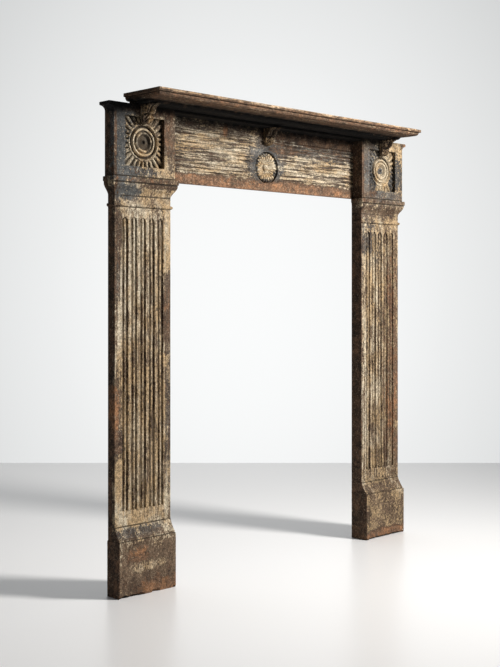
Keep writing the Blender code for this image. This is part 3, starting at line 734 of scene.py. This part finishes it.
right_jamb_paint = aged_paint(
    "right_jamb_paint",
    (1.3, 1.0, 0.60),
    (1.0, 0.5, 0.03),
    (0.195, 1.075),
    0.060,
    {"cream": 0.56, "umber": 0.28, "cool": 0.0, "ochre": 0.20, "bloom": 0.2, "dirt_and_shade": -0.10, "painted_shadow": 0.0,
     "flecks": 0.7},
    [
        # Inner side, which faces away from the key light: cream taken off for bare rust, and painted shade
        # darkens it further.
        ((0.423, 0.062, 0.6), (0.006, 0.06, 1.5), {"cream": -0.7}),
        ((0.415, 0.062, 1.27), (0.006, 0.06, 0.12), {"cream": -0.7}),
        ((0.423, 0.062, 0.6), (0.01, 0.06, 1.5), {"dirt_and_shade": 0.15}),
        ((0.445, 0.036, 1.26), (0.07, 0.03, 0.11), {"cream": -0.38}),
        ((0.46, 0.036, 1.26), (0.08, 0.03, 0.11), {"umber": 0.2}),
        ((0.527, 0.036, 1.26), (0.14, 0.03, 0.11), {"cool": 0.9}),
        ((0.61, 0.036, 1.22), (0.04, 0.03, 0.08), {"cream": -0.2}),
        ((0.61, 0.036, 1.25), (0.05, 0.03, 0.11), {"umber": 0.3}),
        ((0.527, 0.036, 1.18), (0.14, 0.03, 0.014), {"cream": -0.25}),
        ((0.527, 0.044, 1.262), (0.046, 0.01, 0.048), {"cream": 0.45}),
        ((0.527, 0.048, 1.2654), (0.012, 0.03, 0.012), {"cream": -0.9, "umber": 0.6}),
        ((0.527, 0.045, 1.224), (0.06, 0.02, 0.026), {"dirt_and_shade": -0.2}),
        ((0.527, 0.045, 1.226), (0.022, 0.02, 0.02), {"cream": 0.8}),
        # Painted shadow of the shelf on the top of the block.
        ((0.5, 0.05, 1.373), (0.14, 0.08, 0.02), {"painted_shadow": 0.9}),
        ((0.652, 0.04, 1.362), (0.014, 0.06, 0.014), {"bloom": 1.0, "cream": -0.6}),
        ((0.46, 0.045, 1.0), (0.06, 0.03, 0.11), {"cool": 0.7}),
        ((0.45, 0.045, 1.04), (0.04, 0.03, 0.07), {"cream": -0.22}),
        ((0.527, 0.036, 1.125), (0.14, 0.03, 0.026), {"cream": -0.16}),
        ((0.527, 0.036, 1.157), (0.14, 0.03, 0.008), {"cream": -0.3}),
        ((0.592, 0.047, 0.62), (0.056, 0.04, 0.42), {"bloom": 0.75}),
        ((0.592, 0.047, 0.62), (0.06, 0.04, 0.42), {"ochre": 0.7}),
        ((0.592, 0.047, 0.62), (0.05, 0.04, 0.36), {"cream": -0.2, "umber": -0.14}),
        ((0.44, 0.047, 0.7), (0.02, 0.04, 0.5), {"ochre": -0.6}),
        ((0.59, 0.047, 0.38), (0.05, 0.04, 0.16), {"bloom": 0.6}),
        ((0.59, 0.047, 0.33), (0.05, 0.04, 0.12), {"cream": -0.12}),
        ((0.526, 0.023, 0.08), (0.15, 0.06, 0.1), {"cream": -0.14, "ochre": 0.7, "dirt_and_shade": -0.06}),
        ((0.56, 0.023, 0.08), (0.09, 0.06, 0.08), {"bloom": 0.5}),
        ((0.526, 0.023, 0.008), (0.15, 0.06, 0.02), {"bloom": 0.8}),
        ((0.526, 0.023, 0.008), (0.15, 0.06, 0.024), {"cream": -0.5, "umber": -0.25}),
        ((0.526, 0.035, 0.172), (0.15, 0.06, 0.016), {"cream": -0.1}),
        ((0.526, 0.035, 0.172), (0.15, 0.06, 0.03), {"dirt_and_shade": 0.07}),
    ],
)
finish_casting("jamb_left", build_jamb(-1, [(-0.537, -0.512), (-0.487, -0.436)], 0.0145), left_jamb_paint)
finish_casting("jamb_right", build_jamb(1, [(0.430, 0.440)], 0.0126), right_jamb_paint)

# Frieze
# A flat iron plate hangs between the corner blocks. Ten level reeds are cast on each side of its
# plain middle panel, where a round patera with 24 petals is sunk. A flange along its top, hidden
# in the shadow of the shelf, carries the shelf.
FRIEZE_FACE = 0.07785
FRIEZE_BACK = 0.08985
FRIEZE_HALF = 0.4623
FRIEZE_BOTTOM = 1.1643
PANEL_HALF = 0.0765
REED_BOTTOM = 1.2025
REED_PITCH = 0.0122
FLANGE_HALF = 0.4170
FLANGE_BOTTOM = 1.3610
FLANGE_FRONT = 0.03645
PATERA_Z = 1.2380
PATERA_HALF = 0.0540
PATERA_RADIUS = 0.0502
PATERA_PETALS = 24

# The patera's turned profile: (radius, depth)
PATERA_PROFILE = [
    (0.0000, 0.0006), (0.0022, 0.0009), (0.0040, 0.0020), (0.0062, 0.0032), (0.0082, 0.0036),
    (0.0094, 0.0050), (0.0102, 0.0080), (0.0118, 0.0088), (0.0140, 0.0080), (0.0165, 0.0072),
    (0.0200, 0.0060), (0.0240, 0.0046), (0.0280, 0.0033), (0.0320, 0.0023), (0.0360, 0.0016),
    (0.0390, 0.0014), (0.0415, 0.0016), (0.0435, 0.0020), (0.0450, 0.0026), (0.0462, 0.0040),
    (0.0470, 0.0080), (0.0480, 0.0090), (0.0496, 0.0090), (0.0502, 0.0078), (0.0504, 0.0020),
    (0.0507, 0.0004), (0.0512, 0.0000),
]


def patera_depth(radius, turn, share):
    """Depth of the patera below the frieze's panel, with rounded petals round its boss."""
    if share > 0.0:
        return 0.0
    depth = follow(PATERA_PROFILE, radius)
    if not 0.0125 < radius < 0.0475:
        return depth
    position = turn / (2 * math.pi) * PATERA_PETALS
    across = 2 * abs(position - round(position))
    tip = PATERA_RADIUS * (0.935 - 0.10 * across ** 2)
    depth += 0.0046 * across ** 3.5 * min(1.0, (radius - 0.0125) / 0.008)
    return 0.0088 if radius > tip else min(depth, 0.0088)


def reed_depth(z):
    """Depth between two reeds: a sharp line under each reed, which swells and falls away."""
    position = (z - REED_BOTTOM) / REED_PITCH
    if not 0.0 < position < 10.16:
        return 0.0
    part = position % 1.0
    groove = [(0.0, 0.0022), (0.05, 0.0038), (0.11, 0.0040), (0.17, 0.0026), (0.24, 0.0015),
              (0.38, 0.0005), (0.60, 0.0000), (0.80, 0.0005), (0.92, 0.0014), (1.0, 0.0022)]
    if position > 10.0:
        return 0.0040 * max(0.0, 1 - (position - 10.0) / 0.16)
    if position < 0.05:
        return 0.0
    return follow(groove, part)


frieze_reed_rows = spaced(FRIEZE_BOTTOM, REED_BOTTOM, 18)
for reed in range(10):
    frieze_reed_rows += [REED_BOTTOM + (reed + share) * REED_PITCH
                         for share in (0.0, 0.05, 0.11, 0.17, 0.24, 0.38, 0.50, 0.60, 0.80, 0.92)]
frieze_reed_rows += [REED_BOTTOM + share * REED_PITCH for share in (10.0, 10.05, 10.16)]
frieze_reed_rows += spaced(REED_BOTTOM + 10.4 * REED_PITCH, FLANGE_BOTTOM, 11) + [FLANGE_BOTTOM]
spare_rows = len(frieze_reed_rows) - len(SQUARE_SHARES)
frieze_panel_rows = spaced(FRIEZE_BOTTOM, PATERA_Z - PATERA_HALF, spare_rows // 3)
frieze_panel_rows += [PATERA_Z + PATERA_HALF * share for share in SQUARE_SHARES]
frieze_panel_rows += spaced(FLANGE_BOTTOM, PATERA_Z + PATERA_HALF, spare_rows - spare_rows // 3)[::-1]
half_columns = [PATERA_HALF * share for share in SQUARE_SHARES if share >= 0.0]
half_columns += [0.0575, 0.0620, 0.0670, 0.0710, 0.0740, 0.0765, 0.0768, 0.0774, 0.0784, 0.0800, 0.0825]
half_columns += spaced(0.0870, FLANGE_HALF, 52) + [FLANGE_HALF, FLANGE_HALF + 0.0002, 0.4300, FRIEZE_HALF]
frieze_columns = [-x for x in reversed(half_columns[1:])] + half_columns
# Steps of the flange, from the plate's face forward, up and back: (z, y)
flange_steps = [(1.3611, 0.0745), (1.3611, 0.0600), (1.3611, 0.0450), (1.3613, FLANGE_FRONT + 0.0005),
                (1.3620, FLANGE_FRONT), (1.3680, FLANGE_FRONT), (1.3688, FLANGE_FRONT + 0.0005),
                (1.3690, FLANGE_FRONT + 0.0020), (1.3690, FRIEZE_FACE)]


def place_frieze(column, row):
    """Place one point of the frieze's face or of its flange."""
    x = frieze_columns[column]
    if row >= len(frieze_reed_rows):
        z, y = flange_steps[row - len(frieze_reed_rows)]
        if abs(x) > FLANGE_HALF:
            z = FLANGE_BOTTOM + 0.008 * (row - len(frieze_reed_rows) + 1) / len(flange_steps)
            y = FRIEZE_FACE
        # The flange is marked fully dark, as painted shadow under the shelf.
        return Vector((x, y, z)), 1.0
    shift = min(1.0, max(0.0, (PANEL_HALF - abs(x)) / (PANEL_HALF - PATERA_HALF)))
    z = frieze_reed_rows[row] + (frieze_panel_rows[row] - frieze_reed_rows[row]) * shift
    depth = 0.0
    if abs(x) > PANEL_HALF:
        depth = reed_depth(frieze_reed_rows[row])
        depth *= math.sqrt(min(1.0, (abs(x) - PANEL_HALF) / 0.0035))
    y = FRIEZE_FACE + depth + cast_skin(Vector((x, FRIEZE_FACE, z)))
    # Reed grooves are marked darker, as painted shade with some soiling.
    return Vector((x, y, z)), depth / 0.0062


frieze_bm = bend_grid(len(frieze_columns) - 1, len(frieze_reed_rows) + len(flange_steps) - 1, place_frieze)
set_disc(frieze_bm, Vector((0.0, FRIEZE_FACE, PATERA_Z)), PATERA_HALF,
         [radius for radius, depth in PATERA_PROFILE], patera_depth)
rim = [edge for edge in frieze_bm.edges if edge.is_boundary]
behind = bmesh.ops.extrude_edge_only(frieze_bm, edges=rim)["geom"]
for vert in [item for item in behind if isinstance(item, bmesh.types.BMVert)]:
    vert.co.y = FRIEZE_BACK
frieze_paint = aged_paint(
    "frieze_cream_paint",
    (0.45, 1.0, 1.6),
    (0.06, 0.5, 1.0),
    (1.190, 1.345),
    0.0885,
    {"cream": 0.54, "umber": 0.24, "cool": 0.35, "ochre": 0.0, "bloom": 0.15, "dirt_and_shade": -0.04, "painted_shadow": 0.0,
     "flecks": 0.6},
    [
        ((0.0, 0.078, 1.176), (0.6, 0.05, 0.024), {"cream": -0.64}),
        ((-0.11, 0.078, 1.186), (0.11, 0.05, 0.012), {"cream": 0.3}),
        ((0.0, 0.078, 1.176), (0.6, 0.05, 0.026), {"bloom": 0.95, "cool": -0.6}),
        ((-0.15, 0.078, 1.345), (0.3, 0.05, 0.02), {"cream": -0.16}),
        ((0.28, 0.078, 1.345), (0.26, 0.05, 0.024), {"cream": -0.45}),
        # Painted shadow of the shelf on the top of the frieze and its flange.
        ((0.0, 0.06, 1.376), (1.2, 0.08, 0.026), {"painted_shadow": 1.0}),
        ((-0.006, 0.078, 1.245), (0.08, 0.05, 0.074), {"cream": -0.45, "umber": 0.5, "cool": 0.6}),
        ((0.0, 0.084, 1.238), (0.044, 0.012, 0.044), {"cream": 1.1}),
        ((-0.18, 0.078, 1.338), (0.01, 0.05, 0.02), {"bloom": 1.2, "cream": -0.35, "umber": -0.3}),
        ((-0.4, 0.078, 1.24), (0.05, 0.05, 0.07), {"cream": -0.15}),
        ((0.22, 0.078, 1.31), (0.22, 0.05, 0.03), {"cream": -0.28}),
        ((0.27, 0.078, 1.305), (0.18, 0.05, 0.04), {"cool": 0.4}),
    ],
)
finish_casting("frieze", frieze_bm, frieze_paint)

# Shelf
# One iron casting with a flat top: a square fascia, a quirk and an ovolo run along its front and
# ends, and a hollow bed mould below rests on the corner blocks and on the frieze's flange.
SHELF_HALF = 0.5809
SHELF_TOP = 1.4000
SHELF_FRONT = -0.08985
SHELF_BACK = 0.06685
SOFFIT = 1.3785
BED_END_INSET = 0.0209
BED_FRONT_INSET = 0.0729
BED_BOTTOM = 1.3693

# The shelf's profile from its top to its soffit: (z, inset from the edge)
shelf_rows = [
    (SHELF_TOP, 0.0600, 0.0600), (SHELF_TOP, 0.0300, 0.0300), (SHELF_TOP, 0.0120, 0.0120),
    (SHELF_TOP, 0.0030, 0.0030)]
shelf_rows += [(z, inset, inset) for z, inset in (
    (1.3998, 0.0012), (1.3992, 0.0004), (1.3982, 0.0000), (1.3960, 0.0000), (1.3935, 0.0000),
    (1.3912, 0.0000), (1.3905, 0.0003), (1.3901, 0.0010), (1.3898, 0.0028), (1.3896, 0.0048),
    (1.3894, 0.0058), (1.3891, 0.0062), (1.3887, 0.0061))]
for step in range(0, 10):
    angle = math.radians(10 * step)
    inset = 0.0060 + 0.0100 * (1 - math.cos(angle))
    shelf_rows.append((SOFFIT + 0.0100 * (1 - math.sin(angle)), inset, inset))
for step in range(1, 10):
    share = step / 9
    shelf_rows.append((SOFFIT - 0.0002 * share, 0.0160 + 0.0049 * share,
                       0.0160 + (BED_FRONT_INSET - 0.0160) * share))
for step in range(1, 9):
    angle = math.radians(90 * step / 8)
    inset = 0.0130 * (1 - math.cos(angle))
    shelf_rows.append((SOFFIT - (SOFFIT - BED_BOTTOM) * math.sin(angle), BED_END_INSET + inset,
                       BED_FRONT_INSET + inset))
flank_shares = spaced(0.0, 0.985, 22) + [0.985, 0.996]
shelf_columns = [("left", share) for share in flank_shares]
front_shares = [0.0, 0.0006] + spaced(0.003, 0.997, 210) + [0.997, 0.9994, 1.0]
shelf_columns += [("front", share) for share in front_shares]
shelf_columns += [("right", share) for share in reversed(flank_shares)]
shelf_columns += [("back", share) for share in (0.99, 0.75, 0.5, 0.25, 0.01, 0.0)]


def place_shelf(column, row):
    """Place one point of the shelf's moulded edge, all the way round."""
    kind, share = shelf_columns[column]
    z, end_inset, front_inset = shelf_rows[row]
    end_x = SHELF_HALF - end_inset
    front_y = SHELF_FRONT + front_inset
    back_y = SHELF_BACK - (end_inset if z == SHELF_TOP else 0.0)
    x, y = end_x * (2 * share - 1), front_y
    if kind in ("left", "right"):
        x = -end_x if kind == "left" else end_x
        y = back_y + (front_y - back_y) * share
    elif kind == "back":
        y = back_y
    elif share in (0.0, 1.0):
        x += math.copysign(0.0006, 0.5 - share)
        y += 0.0005
    hollow = 0.0
    if kind != "back":
        dent = cast_skin(Vector((x, y, z)))
        if share > 0.0:
            x += dent if kind == "left" else -dent if kind == "right" else 0.0
        y += dent if kind == "front" else 0.0
        # The quirk under the fascia is painted dark, as painted shade in the groove.
        hollow = 0.9 if 1.3885 < z < 1.3899 else 0.0
        if z < SHELF_TOP:
            z += 0.0004 * noise.noise(Vector((x, y, z)) / 0.030)
    return Vector((x, y, min(z, SHELF_TOP))), hollow


shelf_bm = bend_grid(len(shelf_columns) - 1, len(shelf_rows) - 1, place_shelf)
weld_rims(shelf_bm)
shelf_paint = aged_paint(
    "shelf_tan_paint",
    (0.30, 0.8, 1.6),
    (0.05, 0.6, 1.6),
    (1.300, 1.450),
    0.066,
    {"cream": 0.26, "umber": 0.12, "cool": 0.0, "ochre": 0.6, "bloom": 0.70, "dirt_and_shade": -0.05, "painted_shadow": 0.0,
     "flecks": 0.4},
    [
        # Lighter, less ochre cream along the top front edge (this line and the ochre change below): partly
        # the edge's paint, partly a painted highlight where light catches the edge.
        ((0.0, -0.1, 1.403), (1.2, 0.06, 0.009), {"cream": 0.38}),
        # Darker along the underside of the front moulding: painted shade under the shelf, with some
        # soiling.
        ((0.0, -0.08, 1.38), (1.2, 0.04, 0.008), {"dirt_and_shade": 0.08}),
        ((0.0, -0.1, 1.402), (1.2, 0.06, 0.01), {"ochre": -0.4}),
        # Painted shadow on the shelf's own soffit and bed mould.
        ((0.0, 0.02, 1.372), (1.2, 0.064, 0.016), {"painted_shadow": 1.1}),
        ((-0.59, 0.0, 1.39), (0.016, 0.1, 0.02), {"cream": -0.2}),
    ],
    cream=(0.43, 0.33, 0.23),
)
finish_casting("shelf", shelf_bm, shelf_paint)

# Brackets
# Three small iron consoles stand under the shelf: one on each corner block and one on the frieze.
# A lobed leaf with a raised midrib hangs on each, and its tip curls forward under the soffit.
BRACKET_HEIGHT = 0.0530
BRACKET_REACH = 0.0652
BRACKET_HALF = 0.0185

# The console's side view from its foot up: (share of height, share of reach, share of width)
BRACKET_SIDE = [
    (0.00, 0.08, 0.45), (0.03, 0.17, 0.62), (0.08, 0.24, 0.78), (0.16, 0.31, 0.90),
    (0.26, 0.35, 0.97), (0.36, 0.36, 1.00), (0.45, 0.34, 0.97), (0.50, 0.36, 0.93),
    (0.54, 0.46, 0.97), (0.58, 0.56, 1.00), (0.66, 0.61, 1.00), (0.76, 0.64, 0.99),
    (0.84, 0.69, 0.97), (0.90, 0.82, 0.96), (0.94, 0.93, 0.95), (0.97, 0.98, 0.93),
    (1.00, 0.99, 0.90),
]
BRACKET_ROWS = 64
BRACKET_ACROSS = 44


def build_bracket(centre_x, wall_y, top):
    """Bend a grid into one leaf console that hangs on the wall plane."""
    reaches = [(height, reach) for height, reach, width in BRACKET_SIDE]
    widths = [(height, width) for height, reach, width in BRACKET_SIDE]

    def place(column, row):
        height = row / BRACKET_ROWS
        reach = follow(reaches, height) * BRACKET_REACH
        half = follow(widths, height) * BRACKET_HALF
        lobes = abs(math.sin(math.pi * (4.5 * height + 0.15)))
        if column > BRACKET_ACROSS + 20:
            x = half * (0.94 + 0.06 * lobes) * (1 - 2 * (column - BRACKET_ACROSS - 20) / 4)
            y, hollow = 0.0, 0.0
        elif column <= 10 or column >= BRACKET_ACROSS + 10:
            side = -1 if column <= 10 else 1
            share = column / 10 if side < 0 else (BRACKET_ACROSS + 20 - column) / 10
            x = side * half * (0.94 + 0.06 * lobes)
            y = -0.60 * reach * share
            # The flanks are marked darker towards the wall, as painted shade.
            hollow = 0.5 * (1 - share)
        else:
            across = 2 * (column - 10) / BRACKET_ACROSS - 1
            x = across * half * (0.94 + 0.06 * lobes)
            bow = 0.60 + 0.34 * (1 - abs(across)) ** 0.55
            rib = math.exp(-(across / 0.16) ** 2)
            leaf = math.sin(math.pi * (5.0 * height + 1.6 * abs(across))) ** 2 * (1 - rib)
            flutes = math.sin(math.pi * 1.5 * across) ** 2
            upper = min(1.0, max(0.0, (height - 0.52) / 0.06))
            vein = (leaf + (flutes - leaf) * upper) * min(1.0, 4 * (1 - abs(across)))
            y = -(bow + 0.06 * rib) * reach + 0.0058 * vein * min(1.0, reach / 0.02)
            # The veins and flutes are marked for painted shade with soiling, and the band under the upper
            # leaf's lip is marked fully dark as its painted shade.
            hollow = vein
            if 0.44 < height < 0.53:
                hollow = max(vein, 0.9)
        z = top - (1 - height) * BRACKET_HEIGHT
        place = Vector((centre_x + x, wall_y + min(0.0, y), z))
        if y < -0.002:
            place.y += min(-y, 0.5 * cast_skin(place))
        return place, hollow

    bm = bend_grid(BRACKET_ACROSS + 24, BRACKET_ROWS, place)
    weld_rims(bm)
    return bm


bracket_places = {
    "bracket_left": (-0.5274, 0.03615, BLOCK_TOP),
    "bracket_centre": (0.0, 0.07755, 1.3607),
    "bracket_right": (0.5274, 0.03615, BLOCK_TOP),
}
bracket_paint = aged_paint(
    "bracket_brown_paint",
    (1.0, 1.0, 1.0),
    (1.0, 1.0, 0.3),
    (1.300, 1.400),
    0.100,
    {"cream": 0.46, "umber": 0.24, "cool": 0.2, "ochre": 0.2, "bloom": 0.20, "dirt_and_shade": 0.06, "painted_shadow": 0.0,
     "flecks": 0.5},
    [
        ((-0.524, 0.01, 1.336), (0.01, 0.04, 0.026), {"cream": 0.85}),
        ((-0.522, 0.01, 1.334), (0.008, 0.04, 0.022), {"dirt_and_shade": -0.25}),
        # Painted shadow of the shelf on the top of the left bracket.
        ((-0.527, -0.01, 1.374), (0.06, 0.06, 0.012), {"painted_shadow": 0.6}),
        # Painted shade on the centre bracket's side that faces away from the light.
        ((-0.006, 0.03, 1.345), (0.03, 0.06, 0.03), {"painted_shadow": 0.45}),
    ],
    cream=(0.40, 0.32, 0.22),
)
for bracket, (centre_x, wall_y, top) in bracket_places.items():
    finish_casting(bracket, build_bracket(centre_x, wall_y, top), bracket_paint)
